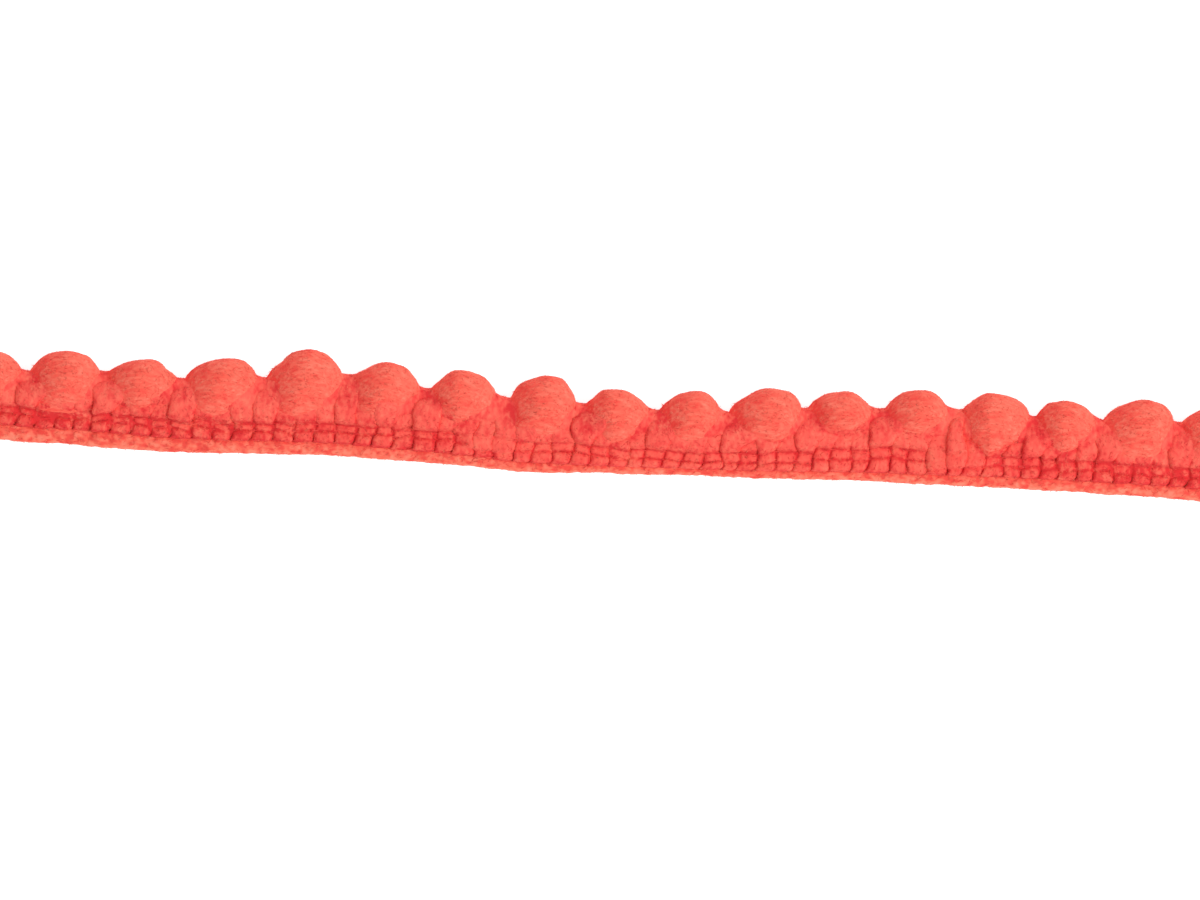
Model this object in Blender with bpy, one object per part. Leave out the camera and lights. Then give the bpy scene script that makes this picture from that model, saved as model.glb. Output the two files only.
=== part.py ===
"""Pompom fringe trim: a cut length of knitted plush heading with a row of small pompoms on its upper edge.

Metres, +Z up. The trim lies flat and face up on z = 0 and runs along +X. The pompoms point to +Y.
The origin is in the middle of the heading's flat underside.
"""

from collections import namedtuple
from math import radians

import bmesh
import bpy
from mathutils import Matrix, Vector

MM = 0.001

# The heading
LENGTH = 120.6 * MM  # the cut length, a little more than seventeen pompoms
ORIGIN_ABOVE_EDGE = 1.7 * MM  # from the selvedge edge up to the origin
ROLL_THICK = 1.4 * MM  # the rolled selvedge, lying on the table
GROOVE_THICK = 1.1 * MM  # the stitch line between the roll and the blocks
BLOCK_THICK = 1.8 * MM  # the two rows of cinched blocks
BLOCKS_TOP = 2.9 * MM  # the upper stitch line, above the selvedge edge
SLOPE = 0.3 * MM  # how far across the heading its thickness takes to change at a stitch line
FINGER_THICK = 2.4 * MM  # the yarn bars that stand between the pompoms
FINGER_ROUND = 0.5 * MM  # the rounded upper edge of these bars
SECTION_STEP = 1.15 * MM  # along the heading, from one cross-section to the next

# The pompoms
POMPOM_THICK = 4.8 * MM  # as they lie on the table
POMPOM_PRESSED = 0.12 * MM  # how much of the underside is pressed flat
FOOT_NARROWS = 0.38  # the share of its width that a pompom loses at its foot
SEAT_ROOM = 0.36 * MM  # by which a seat is cut larger, which leaves 0.3 mm between the facets
AROUND = 14  # facets round a pompom
RINGS = 9  # facets from its face to its back

# How the trim lies, in millimetres: the selvedge edge's y above a straight line, and how wide the roll shows.
Lie = namedtuple("Lie", "along edge roll")
LIES = (
    Lie(-60.3, 0.45, 1.4),
    Lie(-50.0, 0.24, 1.4),
    Lie(-40.0, 0.00, 1.3),
    Lie(-25.0, 0.40, 1.3),
    Lie(-15.0, 0.14, 1.1),
    Lie(-7.0, -0.20, 0.9),
    Lie(1.0, 0.00, 0.7),
    Lie(10.0, 0.20, 0.7),
    Lie(25.0, 0.44, 0.8),
    Lie(40.0, 0.44, 1.1),
    Lie(52.0, 0.26, 1.2),
    Lie(60.3, -0.35, 1.2),
)

# One row for each pompom, in millimetres and degrees. Foot, crest and dip are heights above the selvedge edge,
# a positive lean tips the top towards +X, and dip is the heading's height on the pompom's right.
Pompom = namedtuple("Pompom", "along width foot crest lean dip")
POMPOMS = (
    Pompom(-56.8, 5.4, 3.3, 8.2, 6, 6.6),
    Pompom(-49.6, 5.5, 3.4, 8.7, 4, 7.0),
    Pompom(-42.7, 5.8, 3.8, 8.5, 10, 6.9),
    Pompom(-35.3, 5.8, 3.4, 8.9, 12, 7.1),
    Pompom(-27.4, 6.2, 3.6, 9.7, 4, 7.6),
    Pompom(-20.2, 5.8, 3.6, 9.0, 8, 6.9),
    Pompom(-12.8, 5.7, 3.7, 8.8, 14, 6.7),
    Pompom(-5.3, 6.0, 3.2, 9.0, 8, 6.4),
    Pompom(1.5, 5.7, 3.0, 8.0, 14, 6.0),
    Pompom(8.4, 5.6, 3.0, 8.0, 6, 6.0),
    Pompom(15.4, 5.8, 3.2, 8.4, 10, 6.6),
    Pompom(22.1, 5.2, 4.2, 8.2, 2, 6.8),
    Pompom(29.0, 5.4, 4.2, 8.7, 6, 7.1),
    Pompom(36.3, 5.7, 3.3, 8.9, 14, 6.8),
    Pompom(43.0, 5.4, 3.7, 8.5, 12, 6.8),
    Pompom(49.8, 5.9, 3.4, 9.0, 10, 7.1),
    Pompom(56.7, 5.5, 3.8, 9.0, 6, 6.8),
)


def ease(points, along):
    """A value that runs smoothly from each (place, value) pair to the next, read at a place along the trim."""
    for (left, before), (right, after) in zip(points, points[1:]):
        if along <= right:
            break
    share = min(max((along - left) / (right - left), 0.0), 1.0)
    share = share * share * (3 - 2 * share)
    return before * (1 - share) + after * share


def edge_y(along):
    """y of the selvedge edge, all in metres."""
    return ease([(lie.along * MM, lie.edge * MM) for lie in LIES], along) - ORIGIN_ABOVE_EDGE


def roll_width(along):
    """Width of the rolled selvedge."""
    return ease([(lie.along * MM, lie.roll * MM) for lie in LIES], along)


def dip_height(along):
    """Height of the heading above its edge, which follows the dips between the pompoms."""
    dips = [((a.along + b.along) / 2 * MM, a.dip * MM) for a, b in zip(POMPOMS, POMPOMS[1:])]
    return ease(dips, along)


def cross_section(along):
    """The heading's outline across the trim as (y, z), from the front of the underside over the face."""
    base = edge_y(along)
    roll = roll_width(along)
    top = dip_height(along)
    outline = (
        (roll * 0.25, 0.0),  # the selvedge roll
        (0.0, ROLL_THICK * 0.3),
        (0.0, ROLL_THICK * 0.7),
        (roll * 0.3, ROLL_THICK),
        (roll * 0.75, ROLL_THICK),
        (roll, GROOVE_THICK),  # the stitch line
        (roll + SLOPE, BLOCK_THICK),  # the blocks
        (BLOCKS_TOP, BLOCK_THICK),
        (BLOCKS_TOP + SLOPE, FINGER_THICK),  # the bars
        (top - FINGER_ROUND, FINGER_THICK),
        (top, FINGER_THICK - FINGER_ROUND),
        (top, FINGER_ROUND),
        (top - FINGER_ROUND, 0.0),
    )
    return [(base + y, z) for y, z in outline]


def shape_pompom(bm, row, stand_out):
    """A pear-shaped lump on the table, narrow at its foot. stand_out makes it that much larger all round."""
    bmesh.ops.create_uvsphere(bm, u_segments=AROUND, v_segments=RINGS, radius=1.0)
    half_width = row.width * MM / 2 + stand_out
    half_length = (row.crest - row.foot) * MM / 2 + stand_out
    half_thick = (POMPOM_THICK + POMPOM_PRESSED) / 2 + stand_out
    above_edge = (row.crest + row.foot) * MM / 2
    middle_z = (POMPOM_THICK - POMPOM_PRESSED) / 2
    middle = Vector((row.along * MM, edge_y(row.along * MM) + above_edge, middle_z))
    lean = Matrix.Rotation(-radians(row.lean), 3, "Z")
    for vert in bm.verts:
        x, y, z = vert.co
        narrow = 1 - FOOT_NARROWS * max(-y, 0.0) ** 1.5
        vert.co = middle + lean @ Vector((x * half_width * narrow, y * half_length, z * half_thick))
        vert.co.z = max(vert.co.z, -stand_out)


def new_object(name, collection, bm, material=None):
    """Turns the bmesh into a smooth-shaded object of the collection."""
    bmesh.ops.recalc_face_normals(bm, faces=bm.faces)
    mesh = bpy.data.meshes.new(name)
    bm.to_mesh(mesh)
    bm.free()
    mesh.shade_smooth()
    if material:
        mesh.materials.append(material)
    obj = bpy.data.objects.new(name, mesh)
    collection.objects.link(obj)
    return obj


def yarn(name, colour, roughness):
    """A matt yarn finish."""
    material = bpy.data.materials.new(name)
    material.use_nodes = True
    shader = material.node_tree.nodes["Principled BSDF"]
    shader.inputs["Base Color"].default_value = (*colour, 1.0)
    shader.inputs["Roughness"].default_value = roughness
    shader.inputs["Metallic"].default_value = 0.0
    return material


def make_pompoms(collection, seats):
    """The pompoms, and for each one a larger lump that cuts its seat."""
    plush = yarn("pompom_plush", (0.91, 0.12, 0.085), 0.95)
    for number, row in enumerate(POMPOMS, start=1):
        bm = bmesh.new()
        shape_pompom(bm, row, 0.0)
        new_object(f"pompom_{number:02d}", collection, bm, plush)
        bm = bmesh.new()
        shape_pompom(bm, row, SEAT_ROOM)
        seat = new_object(f"seat_{number:02d}", seats, bm)
        seat.hide_render = True
        seat.display_type = "WIRE"


def make_heading(collection, seats):
    """The knitted band, drawn out from section to section, with the pompoms' seats cut in its upper edge."""
    steps = round(LENGTH / SECTION_STEP)
    places = [LENGTH * (step / steps - 0.5) for step in range(steps + 1)]
    bm = bmesh.new()
    end = bm.faces.new([bm.verts.new((places[0], y, z)) for y, z in cross_section(places[0])])
    for along in places[1:]:
        grown = bmesh.ops.extrude_face_region(bm, geom=[end, *end.edges])["geom"]
        end = next(item for item in grown if isinstance(item, bmesh.types.BMFace))
        for vert, (y, z) in zip(end.verts, cross_section(along)):
            vert.co = (along, y, z)
    heading = new_object("heading", collection, bm, yarn("heading_plush", (0.88, 0.10, 0.075), 0.9))
    cut = heading.modifiers.new("pompom seats", "BOOLEAN")
    cut.operation = "DIFFERENCE"
    cut.solver = "EXACT"
    cut.operand_type = "COLLECTION"
    cut.collection = seats


def main():
    for obj in list(bpy.data.objects):
        bpy.data.objects.remove(obj, do_unlink=True)
    trim = bpy.data.collections.new("pompom_fringe_trim")
    seats = bpy.data.collections.new("seats")
    for collection in (trim, seats):
        bpy.context.scene.collection.children.link(collection)
    make_pompoms(trim, seats)
    make_heading(trim, seats)


main()
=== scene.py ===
# %% [markdown]
# # A pompom fringe trim, brushed and stitched
#
# The trim is one soft yarn, laid back and forth across a narrow band and held by three lines of chain
# stitch. Four passes make one repeat. The first stands up between two pompoms as a finger, and the other
# three disappear under the pompom, which is a felted lump of the same yarn.
#
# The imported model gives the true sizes, and this script gives the looks. Everything is modelled in
# millimetres, because the yarn is two millimetres wide, and each piece is shrunk to metres as it is made.

# %% The frame
from collections import namedtuple
from math import acos, atan2, copysign, cos, degrees, exp, hypot, pi, radians, sin

import bmesh
import bpy
import numpy as np
from mathutils import Matrix, Vector, noise


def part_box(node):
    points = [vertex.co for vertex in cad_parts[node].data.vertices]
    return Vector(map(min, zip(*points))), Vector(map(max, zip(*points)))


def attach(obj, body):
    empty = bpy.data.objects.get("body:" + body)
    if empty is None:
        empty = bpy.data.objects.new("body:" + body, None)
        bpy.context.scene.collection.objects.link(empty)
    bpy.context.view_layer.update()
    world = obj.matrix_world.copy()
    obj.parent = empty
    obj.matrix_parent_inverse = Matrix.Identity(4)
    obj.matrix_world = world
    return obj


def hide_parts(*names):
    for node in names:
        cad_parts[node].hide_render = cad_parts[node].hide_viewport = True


MM = 0.001
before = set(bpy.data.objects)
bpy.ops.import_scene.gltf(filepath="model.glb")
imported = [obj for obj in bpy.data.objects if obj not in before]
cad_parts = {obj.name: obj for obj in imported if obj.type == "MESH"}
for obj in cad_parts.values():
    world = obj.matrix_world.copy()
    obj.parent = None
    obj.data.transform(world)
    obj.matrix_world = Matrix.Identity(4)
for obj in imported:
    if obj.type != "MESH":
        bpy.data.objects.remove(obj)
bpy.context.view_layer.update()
print("CAD nodes:", len(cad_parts))

# %% [markdown]
# ## What the frame says
#
# The selvedge edge is read from the heading's cross-sections: the places where a vertex lies far to the
# front. The seats that are cut for the pompoms leave their vertices further back.

# %% The selvedge edge, read from the frame
FRONT = -1.0  # in y, only the front of the selvedge lies below this

rows = {}
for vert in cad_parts["heading"].data.vertices:
    rows.setdefault(round(vert.co.x / MM, 2), []).append(vert.co.y / MM)
sections = sorted((along, min(ys), max(ys)) for along, ys in rows.items() if min(ys) < FRONT)
edge_places = [along for along, low, high in sections]
edge_ys = [low for along, low, high in sections]
END = edge_places[-1]


def edge_y(along):
    """y of the selvedge edge."""
    return float(np.interp(along, edge_places, edge_ys))


print("sections:", len(sections), "half length:", END)

# %% [markdown]
# ## Where the passes and the stitch lines run
#
# The first pass of each four stands at a dip between two pompoms, and the others share the way to the next
# dip. Three stitch lines cinch the yarn. In the middle the trim has rolled a little towards the viewer, and
# there all three lie closer to the edge. A short table, read between its rows, is enough.

# %% The passes of the yarn
PASSES = 4  # of the yarn in one repeat: a finger, and three under the pompom
NEAR = 1.0  # a dip's height is read this far to both sides of it
pompom_names = sorted(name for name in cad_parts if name.startswith("pompom_"))
centres = [sum(corner.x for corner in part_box(name)) / 2 / MM for name in pompom_names]
dips = [(left + right) / 2 for left, right in zip(centres, centres[1:])]
repeat = (dips[-1] - dips[0]) / (len(dips) - 1)
dips = [dips[0] - repeat, *dips, dips[-1] + repeat]
pass_width = repeat / PASSES
pass_places = [
    left + (right - left) * step / PASSES for left, right in zip(dips, dips[1:]) for step in range(PASSES)
]
pass_places.append(dips[-1])


def read_dip(along):
    """Height of the heading's solid above its edge, at a dip."""
    inside = max(-END, min(END, along))
    return max(high - low for place, low, high in sections if abs(place - inside) < NEAR)


dip_heights = [read_dip(along) for along in dips]
print(f"{len(centres)} pompoms, one repeat is {repeat:.2f} mm and one pass {pass_width:.2f} mm")
print("heights of the dips:", [round(height, 2) for height in dip_heights])

# %% The stitch lines
# One row for each place along the trim. The lowest, the upper and the top line are heights above the
# selvedge edge. shade says how deep the rows of blocks lie in painted shade: 0 is plain, and less is
# painted light.
# worn says how far the passes have worked apart, from 0 to 1.
Lines = namedtuple("Lines", "along lower upper top shade worn")
LINES = (
    Lines(-60, 1.45, 2.40, 3.00, 0.60, 1.0),
    Lines(-45, 1.45, 2.35, 2.95, 0.40, 1.0),
    Lines(-36, 1.30, 2.25, 2.85, 0.30, 0.7),
    Lines(-17, 1.10, 2.10, 2.75, 0.15, 0.3),
    Lines(-8, 0.95, 1.95, 2.70, 0.00, 0.0),
    Lines(0, 0.75, 1.70, 2.45, -0.05, 0.0),
    Lines(9, 0.70, 1.20, 1.95, -0.10, 0.0),
    Lines(16, 0.75, 1.50, 2.45, -0.10, 0.0),
    Lines(26, 0.90, 2.20, 3.10, 0.00, 0.1),
    Lines(36, 1.05, 2.05, 2.80, 0.15, 0.2),
    Lines(60, 1.24, 2.05, 2.80, 0.75, 0.3),
)


def lines_at(along):
    """The row of the table for any place along the trim."""
    columns = list(zip(*LINES))
    return Lines(along, *(float(np.interp(along, columns[0], column)) for column in columns[1:]))


print("stitch lines in the middle:", lines_at(0.0))

# %% [markdown]
# ## One way to make every round piece
#
# Bars, rolls, threads and pompoms are all closed round forms that run from one tip to another, as a UV
# sphere does with its rings from pole to pole. So each one starts as a sphere, and a small function says
# where a vertex goes, from its ring and its angle. The poles stay closed, and no face has to be listed.

# %% Helpers for closed round forms
def ringed(bm, rings, around, place):
    """A sphere whose vertices are laid out by place(ring, angle), which gives a spot and its shade. Rings 0
    and rings are its two tips."""
    shade = bm.verts.layers.float.get("shade") or bm.verts.layers.float.new("shade")
    verts = bmesh.ops.create_uvsphere(bm, u_segments=around, v_segments=rings, radius=1.0)["verts"]
    for vert in verts:
        ring = round(acos(max(-1.0, min(1.0, vert.co.z))) / pi * rings)
        vert.co, vert[shade] = place(ring, atan2(vert.co.y, vert.co.x))


def boxy(angle, power):
    """A point on a rounded square: power 2 is a circle, and higher is squarer."""
    across = copysign(abs(cos(angle)) ** (2 / power), cos(angle))
    up = copysign(abs(sin(angle)) ** (2 / power), sin(angle))
    return across, up


def ramp(value):
    """0 below 0 and 1 above 1, with a smooth way between."""
    share = min(max(value, 0.0), 1.0)
    return share * share * (3 - 2 * share)


Way = namedtuple("Way", "start length")


def rise(value, way):
    """0 up to the start of a way and 1 from its end on, with a smooth way between."""
    return ramp((value - way.start) / way.length)


def mix(one, other, share):
    """From one value to the other, as share runs from 0 to 1."""
    return one + (other - one) * share


def soft_max(one, other, soft):
    """The larger of two heights, with a smooth hollow where they cross."""
    near = max(soft - abs(one - other), 0.0) / soft
    return max(one, other) + near * near * soft / 4


# %% [markdown]
# ## Nothing is quite regular
#
# Soft yarn that was brushed and laid by hand is uneven at every scale. Each kind of unevenness is a row with
# an amount, the size of its bumps and a seed, for a smooth noise that is read at a place. Neighbouring
# vertices agree, so no surface tears.

# %% Kinds of unevenness
Uneven = namedtuple("Uneven", "amount size seed")
SEED_STEP = Vector((17.3, 5.1, 9.7))  # moves each seed's noise well away from the others


def uneven(kind, *place, own=0):
    """The noise of one kind at a place of one to three numbers. own sets one pompom's noise off from the next
    one's."""
    spot = Vector((*place, 0.0, 0.0)[:3]) / kind.size
    return kind.amount * noise.noise(spot + SEED_STEP * (kind.seed + own))


# %% [markdown]
# ## Becoming a piece
#
# A finished piece sits at the origin with its place in its mesh. Three attributes travel with each mesh for
# the materials to read: `grain` is a place measured along and across the brushed fibres, `tone` sets one
# fibre off from the next, and `shade` is painted shade that darkens what lies down in a crease; below 0 it is
# painted light.
#
# The operators make the same shape in another order each time, and the random fibres have to fall on the same
# spots in every run. So the vertices are sorted by place, and the faces by their vertices.

# %% From a bmesh to a piece
NEUTRAL = 0.5  # the values of a noise texture and the fibres' tones lie round this


def put_in_order(bm):
    """Sorts the vertices by place and the faces by their vertices."""
    for index, vert in enumerate(sorted(bm.verts, key=lambda vert: vert.co[:])):
        vert.index = index
    bm.verts.sort()
    by_vertices = sorted(bm.faces, key=lambda face: sorted(vert.index for vert in face.verts))
    for index, face in enumerate(by_vertices):
        face.index = index
    bm.faces.sort()


def to_mesh(name, bm):
    """The bmesh as a mesh, with its faces outwards and in order."""
    bmesh.ops.recalc_face_normals(bm, faces=bm.faces)
    put_in_order(bm)
    mesh = bpy.data.meshes.new(name)
    bm.to_mesh(mesh)
    bm.free()
    return mesh


def add_object(name, data):
    """A new object in the scene."""
    made = bpy.data.objects.new(name, data)
    bpy.context.scene.collection.objects.link(made)
    return made


def to_piece(name, bm, grain):
    """Shrinks the bmesh to metres and makes it an object that rides on the trim's one body."""
    mesh = to_mesh(name, bm)
    grains = mesh.attributes.new("grain", "FLOAT_VECTOR", "POINT")
    grains.data.foreach_set("vector", np.array([grain(v.co) for v in mesh.vertices], np.float32).ravel())
    tones = mesh.attributes.new("tone", "FLOAT", "POINT")
    tones.data.foreach_set("value", np.full(len(mesh.vertices), NEUTRAL, np.float32))
    mesh.transform(Matrix.Scale(MM, 4))
    mesh.shade_smooth()
    piece = add_object(name, mesh)
    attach(piece, "root")
    print(f"{name}: {len(mesh.vertices)} vertices")
    return piece


def round_piece(name, grain, forms):
    """A piece of round forms. Each one is given by its rings, its vertices around and its layout."""
    bm = bmesh.new()
    for rings, around, place in forms:
        ringed(bm, rings, around, place)
    return to_piece(name, bm, grain)


def along_grain(place):
    """The fibres of the selvedge and the thread run along the band."""
    return (place.x, place.y, place.z)


def up_grain(place):
    """The fibres of the passes and of the ground run across it."""
    return (place.y, place.x, place.z)


def section_at(ring, rings):
    """Where a ring lies along the trim, and 0 if it closes a cut end, or else 1."""
    return -END + 2 * END * ring / rings, 0.0 if ring in (0, rings) else 1.0


# %% [markdown]
# ## The shape of a pompom
#
# A pompom's face rises softly out of the passes at its lower left, bulges, and drops away steeply at the top
# and on the right. If the pompom and the passes were shaped one by one, a hard line would show where they
# meet. So both read one relief: `face` gives the height of a pompom's face over any place on the table.
#
# No two are alike. Some hang like bags and melt into the rows, others are drops with a crisp lower edge. The
# solids say where each one is and how large, and a table of looks, judged one by one, says the rest.

# %% The pompoms, read from the frame
Ball = namedtuple("Ball", "name foot crest middle left right top look number")
MIDDLE_DROP = 0.7  # from the lower of its two dips down to a pompom's widest line
LEFT_PLUMP = 1.27  # its two half widths, as shares of the solid's
RIGHT_PLUMP = 1.17
FACE_SHARE = 0.88  # the solid's roundest place lies a little higher than the felted face
# One row for each pompom. The first four say how much further it reaches to the left, to the right, up and
# down, in millimetres. The next three say how square its outline is at the upper left, at the upper right and
# below: 2 is an ellipse, and less is more pointed. The last two say how crisp its lower left and lower right
# edges are: 0 melts into the passes, and 1 stands off them.
Look = namedtuple("Look", "left right rise drop up_left up_right below crisp_left crisp_right")
LOOKS = (
    Look(0.0, 0.0, 0.0, 0.3, 1.8, 2.0, 2.6, 0.2, 0.2),
    Look(0.1, 0.0, 0.0, 0.5, 1.95, 2.2, 3.0, 0.1, 0.1),
    Look(0.0, 0.0, 0.0, 0.3, 1.7, 1.45, 1.4, 0.6, 0.9),
    Look(0.0, 0.0, 0.0, 0.3, 1.95, 2.4, 1.8, 0.6, 0.3),
    Look(0.0, -0.1, 0.1, 0.5, 1.6, 1.7, 2.8, 0.5, 0.2),
    Look(0.0, -0.1, 0.0, 0.4, 1.9, 1.75, 2.4, 0.2, 0.2),
    Look(0.0, -0.4, 0.0, 0.1, 1.45, 2.7, 1.5, 0.2, 0.7),
    Look(0.1, -0.7, 0.0, 0.5, 2.2, 1.75, 3.0, 0.3, 0.2),
    Look(0.0, -0.4, -0.1, 0.5, 1.5, 2.0, 1.4, 0.2, 0.9),
    Look(0.1, -0.7, -0.12, 0.5, 1.8, 1.8, 2.8, 0.2, 0.2),
    Look(0.5, -0.45, 0.0, 0.1, 2.0, 2.2, 2.0, 0.5, 0.9),
    Look(0.1, -0.1, 0.0, 0.0, 2.1, 1.8, 2.0, 0.8, 0.7),
    Look(0.1, -0.2, 0.0, 0.2, 1.8, 2.0, 1.8, 0.3, 0.4),
    Look(0.0, -0.2, -0.2, 0.7, 1.7, 2.6, 1.2, 0.8, 1.0),
    Look(0.0, -0.6, -0.05, 0.5, 1.7, 1.9, 1.4, 0.7, 0.8),
    Look(0.5, -0.6, 0.0, 0.5, 1.9, 2.1, 3.0, 0.1, 0.4),
    Look(0.6, 0.0, 0.0, 0.3, 1.9, 2.0, 2.6, 0.3, 0.4),
)


def read_ball(number, name):
    """A pompom's measures in millimetres, from its solid and its row of looks."""
    places = [vert.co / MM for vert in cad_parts[name].data.vertices]
    foot = min(places, key=lambda place: place.y)
    crest = max(places, key=lambda place: place.y)
    along = centres[number]
    half = (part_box(name)[1].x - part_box(name)[0].x) / 2 / MM
    middle_y = edge_y(along) + min(dip_heights[number : number + 2]) - MIDDLE_DROP
    middle = foot.lerp(crest, (middle_y - foot.y) / (crest.y - foot.y))
    look = LOOKS[number]
    foot = foot - Vector((0.0, look.drop, 0.0))
    crest = crest + Vector((0.0, look.rise, 0.0))
    left = middle.x - (along - half * LEFT_PLUMP) + look.left
    right = along + half * RIGHT_PLUMP - middle.x + look.right
    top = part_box(name)[1].z / MM * FACE_SHARE
    return Ball(name, foot, crest, middle, left, right, top, look, number)


balls = [read_ball(number, name) for number, name in enumerate(pompom_names)]
print("a pompom reaches", round(balls[1].left, 2), "mm left and", round(balls[1].right, 2), "mm right")

# %% [markdown]
# ## The outline and the relief
#
# The outline is a rounded square with a soft power that changes with the direction. Inside it, a share from
# 0 in the middle to 1 at the outline says how far out a place lies. The face falls from its top to its rim
# along a power of that share: a small power is round like a ball, and a large one is as gentle as a hill.
# Directions are angles in degrees, with 0 to the right and 90 towards the crest.

# %% The outline of a pompom
OUTLINE_TURNS = (-180, -125, -55, 0, 45, 90, 135, 180)
ROUND = 2.0  # the power straight to the left, to the right and up


def outline_power(ball, turn):
    """How square the outline is in one direction."""
    look = ball.look
    powers = (ROUND, look.below, look.below, ROUND, look.up_right, ROUND, look.up_left, ROUND)
    return float(np.interp(turn, OUTLINE_TURNS, powers))


def reach(ball, up):
    """How far a pompom reaches up or down from its widest line."""
    return ball.crest.y - ball.middle.y if up > 0 else ball.middle.y - ball.foot.y


def axis_x(ball, y):
    """x of a pompom's leaning axis."""
    lean = (ball.crest.x - ball.foot.x) / (reach(ball, 1) + reach(ball, -1))
    return ball.middle.x + lean * (y - ball.middle.y)


def place_on(ball, x, y):
    """How far out a place lies on a pompom, and in which direction: (share, across, up)."""
    across = x - axis_x(ball, y)
    across /= ball.right if across > 0 else ball.left
    up = y - ball.middle.y
    up /= reach(ball, up)
    power = outline_power(ball, degrees(atan2(up, across)))
    return (abs(across) ** power + abs(up) ** power) ** (1 / power), across, up


# %% The relief of its face
RIM = 2.1  # the height of its outline over the table
RIM_BELOW = 2.45  # and towards its foot, where it melts into the passes
RIM_CRISP = 2.2  # and there where its edge is crisp
SLOPE_TURNS = (-180, -135, -90, -45, 0, 45, 90, 135, 180)
GENTLE = 1.9  # the power below, where it melts into the passes
CRISP = 0.6  # and where it stands off them
SLOPE_LEFT = 1.6  # the power straight to the left
SLOPES_ROUND = (0.8, 0.55, 0.5, 0.75)  # and to the right, the upper right, the crest and the upper left
CRISP_WAY = Way(-0.5, 1.0)  # where the crispness of the left side turns into that of the right
FACE_LUMP = Uneven(0.16, 1.8, 30)
STEEP = 6.0  # how fast the relief falls off outside the outline


def crispness(ball, across):
    """How crisp the lower edge is, from its left side at -1 to its right side at 1."""
    return mix(ball.look.crisp_left, ball.look.crisp_right, rise(across, CRISP_WAY))


def lowness(across, up):
    """1 straight towards the foot, and 0 to both sides and above."""
    return max(-up, 0.0) / max(hypot(across, up), 0.001)


def face_shape(ball, share, across, up, x, y):
    """Height of a pompom's face, share being 0 in its middle and 1 at its outline."""
    crisp = crispness(ball, across)
    below = mix(GENTLE, CRISP, crisp)
    slopes = (SLOPE_LEFT, below, below, below, *SLOPES_ROUND, SLOPE_LEFT)
    slope = float(np.interp(degrees(atan2(up, across)), SLOPE_TURNS, slopes))
    rim = mix(RIM, mix(RIM_BELOW, RIM_CRISP, crisp), lowness(across, up))
    bulge = max(1 - share * share, 0.0)
    lump = uneven(FACE_LUMP, x, y, own=ball.number) * bulge
    return rim + (ball.top - rim) * bulge ** slope + lump


def face(ball, x, y):
    """Height of a pompom's face over a place. Outside its outline it falls off steeply."""
    share, across, up = place_on(ball, x, y)
    return face_shape(ball, share, across, up, x, y) - max(share - 1, 0.0) * STEEP


# %% [markdown]
# ## Creases and folds
#
# Two kinds of painted shade belong to the pompoms, and the pompoms and the passes both need them. Under a
# crisp edge a thin crease is painted dark, and on the left flank, where the finger's tip dives under, a fold
# is painted in shade.

# %% Creases and folds
CREASE_HALF = 0.22  # half the width of the crease
FOLD_SHARE = 0.8  # how far out on the left flank the fold lies
FOLD_BELOW = 0.4  # and how far below the widest line
FOLD_HALF = 1.1
# how dark the painted shade of a fold is
FOLD_SHADE_STRENGTH = 0.6
FOLD_UNEVEN = Uneven(1.0, 1 / 3.1, 22)  # read by a pompom's number, so a size under 1 makes each one its own
FOLD_MOTTLE = Uneven(1.0, 0.7, 23)
FAR = 3.0  # beyond this many half widths nothing is left of either
BESIDE_BALL = 0.5  # to the sides a crease ends this far outside its pompom


def crease_shade(x, y):
    """Painted shade: 1 on the line below a pompom where a crisp edge meets the passes, and 0 away from it."""
    dark = 0.0
    for ball in balls:
        if abs(x - ball.middle.x) < ball.left + BESIDE_BALL:
            share, across, up = place_on(ball, x, y)
            off = (share - 1) * ball.left / CREASE_HALF
            if up < 0 and abs(off) < FAR:
                dark = max(dark, crispness(ball, across) * lowness(across, up) ** 0.5 * exp(-off * off))
    return dark


def fold_shade(x, y):
    """Painted shade: 1 at the spot where a finger's tip dives under the left flank of its pompom, and 0 away
    from it.
    """
    dark = 0.0
    for ball in balls:
        off_x = (x - ball.middle.x + ball.left * FOLD_SHARE) / FOLD_HALF
        off_y = (y - ball.middle.y + FOLD_BELOW) / FOLD_HALF
        if abs(off_x) < FAR and abs(off_y) < FAR:
            strength = FOLD_SHADE_STRENGTH + uneven(FOLD_UNEVEN, ball.number)
            dark += strength * exp(-off_x * off_x - off_y * off_y) * (1 + uneven(FOLD_MOTTLE, x, y))
    return dark


# %% [markdown]
# ## The bars
#
# Each pass of yarn bulges between the stitch lines and is pinched under them, and its neighbours press it
# nearly square. One bar is a sphere drawn out along its pass. The gaps between the bars are shared by both
# neighbours, so they wander together. Above the stitches the bars overlap more and more, and the groove
# between them fades. Towards the cut ends the passes have worked apart a little, and the rows are painted in
# deeper shade.

# %% The gaps between the passes
Gap = namedtuple("Gap", "index along lines lean reach open")
GAP_WANDER = Uneven(0.45, 1.7, 0)  # how far a gap strays
ASIDE = 7.3  # sets the noise of one gap off from the next
LEAN = 0.22  # how far it leans towards the pompom's crest, for each millimetre that it rises
LEAN_UNEVEN = Uneven(1.5, 1 / 4.1, 12)  # read by a pass's number, as the other sizes under 1 are
LEAN_FROM = 0.3  # above the top line
HOOK = 0.3  # how far it hooks to the left at its foot
HOOK_WAY = Way(-0.3, 0.5)  # downwards from the lowest line, so it starts a little above it
OPEN = 0.94  # a bar's fullest width where it is worn, as a share of the room between its two gaps
CLOSED = 1.03  # and where the passes lie tight, so that they overlap a little
PINCHED = 0.90  # a bar's width under a stitch
BESIDE = 1.10  # and above the stitches, where the grooves are shallow
BESIDE_WAY = Way(0.0, 0.4)  # upwards from the top line
MERGED = 1.42  # and where it has grown together with its neighbour
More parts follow.
